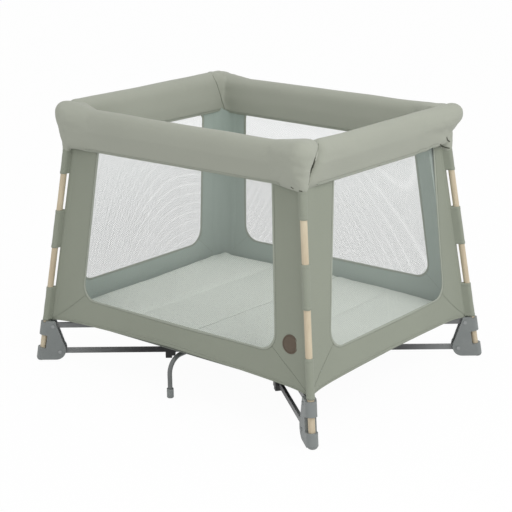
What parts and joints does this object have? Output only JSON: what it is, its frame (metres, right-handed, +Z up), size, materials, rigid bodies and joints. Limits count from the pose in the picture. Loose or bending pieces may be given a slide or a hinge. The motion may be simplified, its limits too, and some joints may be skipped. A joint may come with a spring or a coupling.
{
  "type": "travel play yard",
  "caption": "Rectangular travel play yard with mesh windows, padded rails, leaning posts and a base linkage that folds it into a bundle.",
  "frame": {"origin": "middle of the footprint, on the floor", "axes": "+X along the long side, -Y the front with the leather patch, +Z up"},
  "size_m": [1.037, 0.8524, 0.7728],
  "materials": {
    "sage_fabric": "matte woven polyester",
    "mesh": "fine open net",
    "mattress_cover": "matte woven polyester",
    "leather": "matte",
    "beech_tube": "satin light wood film",
    "grey_plastic": "satin",
    "dark_steel": "satin powder coat",
    "grey_tube": "satin powder coat",
    "black_plastic": "satin"
  },
  "bodies": {
    "hub": {"hub": "black_plastic", "hub_pins": "dark_steel", "leather_patch": "leather", "floor_cloth": "sage_fabric", "mattress_pad": "mattress_cover", "side_nets": "mesh", "end_nets": "mesh", "wall_front": "sage_fabric", "wall_right": "sage_fabric", "wall_back": "sage_fabric", "wall_left": "sage_fabric", "rail_cover_front": "sage_fabric", "rail_cover_right": "sage_fabric", "rail_cover_back": "sage_fabric", "rail_cover_left": "sage_fabric"},
    "lower_bar_front_right": {"lower_bar_front_right": "dark_steel"},
    "upper_bar_front_right": {"upper_bar_front_right": "dark_steel"},
    "corner_front_right": {"post_front_right": "beech_tube", "foot_bracket_front_right": "grey_plastic", "corner_rivets_front_right": "dark_steel", "top_corner_front_right": "grey_plastic"},
    "lower_bar_front_left": {"lower_bar_front_left": "dark_steel"},
    "upper_bar_front_left": {"upper_bar_front_left": "dark_steel"},
    "corner_front_left": {"post_front_left": "beech_tube", "foot_bracket_front_left": "grey_plastic", "corner_rivets_front_left": "dark_steel", "top_corner_front_left": "grey_plastic"},
    "lower_bar_back_left": {"lower_bar_back_left": "dark_steel"},
    "upper_bar_back_left": {"upper_bar_back_left": "dark_steel"},
    "corner_back_left": {"post_back_left": "beech_tube", "foot_bracket_back_left": "grey_plastic", "corner_rivets_back_left": "dark_steel", "top_corner_back_left": "grey_plastic"},
    "lower_bar_back_right": {"lower_bar_back_right": "dark_steel"},
    "upper_bar_back_right": {"upper_bar_back_right": "dark_steel"},
    "corner_back_right": {"post_back_right": "beech_tube", "foot_bracket_back_right": "grey_plastic", "corner_rivets_back_right": "dark_steel", "top_corner_back_right": "grey_plastic"},
    "rail_front_a": {"rail_front_a": "dark_steel"},
    "rail_front_b": {"rail_front_b": "dark_steel"},
    "rail_hinge_front": {"rail_hinge_front": "black_plastic"},
    "lock_button_front": {"lock_button_front": "grey_plastic"},
    "rail_right_a": {"rail_right_a": "dark_steel"},
    "rail_right_b": {"rail_right_b": "dark_steel"},
    "rail_hinge_right": {"rail_hinge_right": "black_plastic"},
    "lock_button_right": {"lock_button_right": "grey_plastic"},
    "rail_back_a": {"rail_back_a": "dark_steel"},
    "rail_back_b": {"rail_back_b": "dark_steel"},
    "rail_hinge_back": {"rail_hinge_back": "black_plastic"},
    "lock_button_back": {"lock_button_back": "grey_plastic"},
    "rail_left_a": {"rail_left_a": "dark_steel"},
    "rail_left_b": {"rail_left_b": "dark_steel"},
    "rail_hinge_left": {"rail_hinge_left": "black_plastic"},
    "lock_button_left": {"lock_button_left": "grey_plastic"},
    "middle_leg_front": {"middle_leg_front": "grey_tube", "leg_cap_front": "grey_plastic"},
    "middle_leg_back": {"middle_leg_back": "grey_tube", "leg_cap_back": "grey_plastic"}
  },
  "joints": [
    {"name": "fold", "type": "hinge", "parent": "hub", "child": "lower_bar_front_right", "pos_m": [0.0914, -0.07463, 0.028], "axis": [0.6324, 0.7746, 0], "range_deg": [0, 72], "deforming": ["floor_cloth", "mattress_pad", "side_nets", "end_nets", "wall_front", "wall_right", "wall_back", "wall_left", "rail_cover_front", "rail_cover_right", "rail_cover_back", "rail_cover_left", "leather_patch"]},
    {"name": "upper_bar_front_right_turn", "type": "hinge", "parent": "hub", "child": "upper_bar_front_right", "pos_m": [0.10457, -0.08538, 0.108], "axis": [0.6324, 0.7746, 0], "range_deg": [0, 72]},
    {"name": "corner_front_right_turn", "type": "hinge", "parent": "lower_bar_front_right", "child": "corner_front_right", "pos_m": [0.45861, -0.37444, 0.028], "axis": [0.6324, 0.7746, 0], "range_deg": [-72, 0]},
    {"name": "lower_bar_front_left_turn", "type": "hinge", "parent": "hub", "child": "lower_bar_front_left", "pos_m": [-0.0914, -0.07463, 0.028], "axis": [0.6324, -0.7746, 0], "range_deg": [0, 72]},
    {"name": "upper_bar_front_left_turn", "type": "hinge", "parent": "hub", "child": "upper_bar_front_left", "pos_m": [-0.10457, -0.08538, 0.108], "axis": [0.6324, -0.7746, 0], "range_deg": [0, 72]},
    {"name": "corner_front_left_turn", "type": "hinge", "parent": "lower_bar_front_left", "child": "corner_front_left", "pos_m": [-0.45861, -0.37444, 0.028], "axis": [0.6324, -0.7746, 0], "range_deg": [-72, 0]},
    {"name": "lower_bar_back_left_turn", "type": "hinge", "parent": "hub", "child": "lower_bar_back_left", "pos_m": [-0.0914, 0.07463, 0.028], "axis": [-0.6324, -0.7746, 0], "range_deg": [0, 72]},
    {"name": "upper_bar_back_left_turn", "type": "hinge", "parent": "hub", "child": "upper_bar_back_left", "pos_m": [-0.10457, 0.08538, 0.108], "axis": [-0.6324, -0.7746, 0], "range_deg": [0, 72]},
    {"name": "corner_back_left_turn", "type": "hinge", "parent": "lower_bar_back_left", "child": "corner_back_left", "pos_m": [-0.45861, 0.37444, 0.028], "axis": [-0.6324, -0.7746, 0], "range_deg": [-72, 0]},
    {"name": "lower_bar_back_right_turn", "type": "hinge", "parent": "hub", "child": "lower_bar_back_right", "pos_m": [0.0914, 0.07463, 0.028], "axis": [-0.6324, 0.7746, 0], "range_deg": [0, 72]},
    {"name": "upper_bar_back_right_turn", "type": "hinge", "parent": "hub", "child": "upper_bar_back_right", "pos_m": [0.10457, 0.08538, 0.108], "axis": [-0.6324, 0.7746, 0], "range_deg": [0, 72]},
    {"name": "corner_back_right_turn", "type": "hinge", "parent": "lower_bar_back_right", "child": "corner_back_right", "pos_m": [0.45861, 0.37444, 0.028], "axis": [-0.6324, 0.7746, 0], "range_deg": [-72, 0]},
    {"name": "rail_front_a_turn", "type": "hinge", "parent": "corner_front_left", "child": "rail_front_a", "pos_m": [-0.3822, -0.33256, 0.738], "axis": [0, 1, 0], "range_deg": [0, 72]},
    {"name": "rail_front_b_turn", "type": "hinge", "parent": "corner_front_right", "child": "rail_front_b", "pos_m": [0.3822, -0.33256, 0.738], "axis": [0, -1, 0], "range_deg": [0, 72]},
    {"name": "rail_hinge_front_turn", "type": "hinge", "parent": "rail_front_a", "child": "rail_hinge_front", "pos_m": [-0.015, -0.33256, 0.738], "axis": [0, 1, 0], "range_deg": [-72, 0]},
    {"name": "lock_button_front_press", "type": "slide", "parent": "rail_hinge_front", "child": "lock_button_front", "axis": [0, 0, 1], "range_m": [0, 0.004], "stiffness_N_per_m": 400},
    {"name": "rail_right_a_turn", "type": "hinge", "parent": "corner_front_right", "child": "rail_right_a", "pos_m": [0.40731, -0.31481, 0.738], "axis": [-1, 0, 0], "range_deg": [0, 72]},
    {"name": "rail_right_b_turn", "type": "hinge", "parent": "corner_back_right", "child": "rail_right_b", "pos_m": [0.40731, 0.31481, 0.738], "axis": [1, 0, 0], "range_deg": [0, 72]},
    {"name": "rail_hinge_right_turn", "type": "hinge", "parent": "rail_right_a", "child": "rail_hinge_right", "pos_m": [0.40731, -0.015, 0.738], "axis": [-1, 0, 0], "range_deg": [-72, 0]},
    {"name": "lock_button_right_press", "type": "slide", "parent": "rail_hinge_right", "child": "lock_button_right", "axis": [0, 0, 1], "range_m": [0, 0.004], "stiffness_N_per_m": 400},
    {"name": "rail_back_a_turn", "type": "hinge", "parent": "corner_back_right", "child": "rail_back_a", "pos_m": [0.3822, 0.33256, 0.738], "axis": [0, -1, 0], "range_deg": [0, 72]},
    {"name": "rail_back_b_turn", "type": "hinge", "parent": "corner_back_left", "child": "rail_back_b", "pos_m": [-0.3822, 0.33256, 0.738], "axis": [0, 1, 0], "range_deg": [0, 72]},
    {"name": "rail_hinge_back_turn", "type": "hinge", "parent": "rail_back_a", "child": "rail_hinge_back", "pos_m": [0.015, 0.33256, 0.738], "axis": [0, -1, 0], "range_deg": [-72, 0]},
    {"name": "lock_button_back_press", "type": "slide", "parent": "rail_hinge_back", "child": "lock_button_back", "axis": [0, 0, 1], "range_m": [0, 0.004], "stiffness_N_per_m": 400},
    {"name": "rail_left_a_turn", "type": "hinge", "parent": "corner_back_left", "child": "rail_left_a", "pos_m": [-0.40731, 0.31481, 0.738], "axis": [1, 0, 0], "range_deg": [0, 72]},
    {"name": "rail_left_b_turn", "type": "hinge", "parent": "corner_front_left", "child": "rail_left_b", "pos_m": [-0.40731, -0.31481, 0.738], "axis": [-1, 0, 0], "range_deg": [0, 72]},
    {"name": "rail_hinge_left_turn", "type": "hinge", "parent": "rail_left_a", "child": "rail_hinge_left", "pos_m": [-0.40731, 0.015, 0.738], "axis": [1, 0, 0], "range_deg": [-72, 0]},
    {"name": "lock_button_left_press", "type": "slide", "parent": "rail_hinge_left", "child": "lock_button_left", "axis": [0, 0, 1], "range_m": [0, 0.004], "stiffness_N_per_m": 400},
    {"name": "middle_leg_front_turn", "type": "hinge", "parent": "hub", "child": "middle_leg_front", "pos_m": [0, -0.056, 0.114], "axis": [1, 0, 0], "range_deg": [0, 75.1]},
    {"name": "middle_leg_back_turn", "type": "hinge", "parent": "hub", "child": "middle_leg_back", "pos_m": [0, 0.056, 0.114], "axis": [-1, 0, 0], "range_deg": [0, 75.1]}
  ],
  "couplings": [
    {"joint": "upper_bar_front_right_turn", "follows": "fold", "ratio": 1},
    {"joint": "corner_front_right_turn", "follows": "fold", "ratio": -1},
    {"joint": "lower_bar_front_left_turn", "follows": "fold", "ratio": 1},
    {"joint": "upper_bar_front_left_turn", "follows": "fold", "ratio": 1},
    {"joint": "corner_front_left_turn", "follows": "fold", "ratio": -1},
    {"joint": "lower_bar_back_left_turn", "follows": "fold", "ratio": 1},
    {"joint": "upper_bar_back_left_turn", "follows": "fold", "ratio": 1},
    {"joint": "corner_back_left_turn", "follows": "fold", "ratio": -1},
    {"joint": "lower_bar_back_right_turn", "follows": "fold", "ratio": 1},
    {"joint": "upper_bar_back_right_turn", "follows": "fold", "ratio": 1},
    {"joint": "corner_back_right_turn", "follows": "fold", "ratio": -1},
    {"joint": "rail_front_a_turn", "follows": "fold", "ratio": 1},
    {"joint": "rail_front_b_turn", "follows": "fold", "ratio": 1},
    {"joint": "rail_hinge_front_turn", "follows": "fold", "ratio": -1},
    {"joint": "rail_right_a_turn", "follows": "fold", "ratio": 1},
    {"joint": "rail_right_b_turn", "follows": "fold", "ratio": 1},
    {"joint": "rail_hinge_right_turn", "follows": "fold", "ratio": -1},
    {"joint": "rail_back_a_turn", "follows": "fold", "ratio": 1},
    {"joint": "rail_back_b_turn", "follows": "fold", "ratio": 1},
    {"joint": "rail_hinge_back_turn", "follows": "fold", "ratio": -1},
    {"joint": "rail_left_a_turn", "follows": "fold", "ratio": 1},
    {"joint": "rail_left_b_turn", "follows": "fold", "ratio": 1},
    {"joint": "rail_hinge_left_turn", "follows": "fold", "ratio": -1},
    {"joint": "middle_leg_front_turn", "follows": "fold", "ratio": 1.0417},
    {"joint": "middle_leg_back_turn", "follows": "fold", "ratio": 1.0417}
  ]
}
